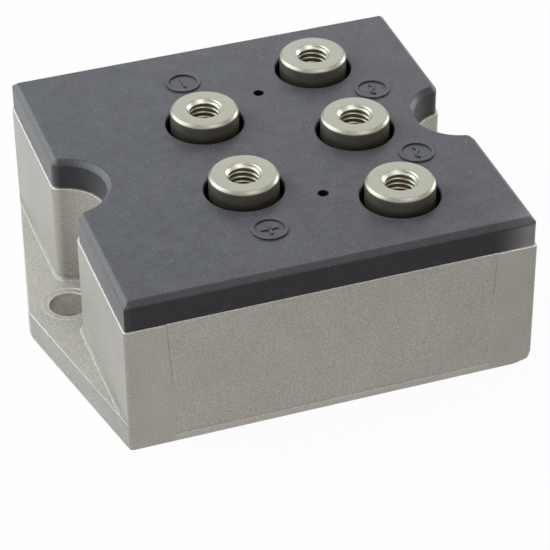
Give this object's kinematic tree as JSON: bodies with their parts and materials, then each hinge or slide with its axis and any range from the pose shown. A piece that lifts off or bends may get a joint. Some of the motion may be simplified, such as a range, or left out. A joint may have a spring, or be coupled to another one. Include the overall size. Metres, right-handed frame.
{
  "type": "bridge rectifier module",
  "caption": "Square power rectifier module: die-cast tray with pointed, drilled ears under half-round screw notches, a moulded lid and nickel-plated threaded screw terminals.",
  "frame": {"origin": "middle of the flat mounting face, between the two mounting holes", "axes": "+Z out of the lid, X from ear to ear through both mounting holes, with the alternating-current terminals on the +X side"},
  "size_m": [0.0724, 0.06, 0.0274],
  "materials": {
    "cast_aluminium": "satin",
    "lid_plastic": "matte",
    "nickel_plate": "satin",
    "copper": "satin",
    "ceramic": "matte",
    "silicon": "gloss",
    "casting_resin": "gloss"
  },
  "bodies": {
    "root": {"housing": "cast_aluminium", "lid": "lid_plastic", "terminal_minus": "nickel_plate", "terminal_plus": "nickel_plate", "terminal_ac_1": "nickel_plate", "terminal_ac_2": "nickel_plate", "terminal_ac_3": "nickel_plate", "base_copper": "copper", "ceramic_substrate": "ceramic", "minus_plate": "copper", "plus_plate": "copper", "ac_pad_1": "copper", "ac_pad_2": "copper", "ac_pad_3": "copper", "minus_diode_1": "silicon", "minus_diode_2": "silicon", "minus_diode_3": "silicon", "plus_diode_1": "silicon", "plus_diode_2": "silicon", "plus_diode_3": "silicon", "ac_strap_1": "copper", "ac_strap_2": "copper", "ac_strap_3": "copper", "casting_resin": "casting_resin"}
  },
  "joints": []
}
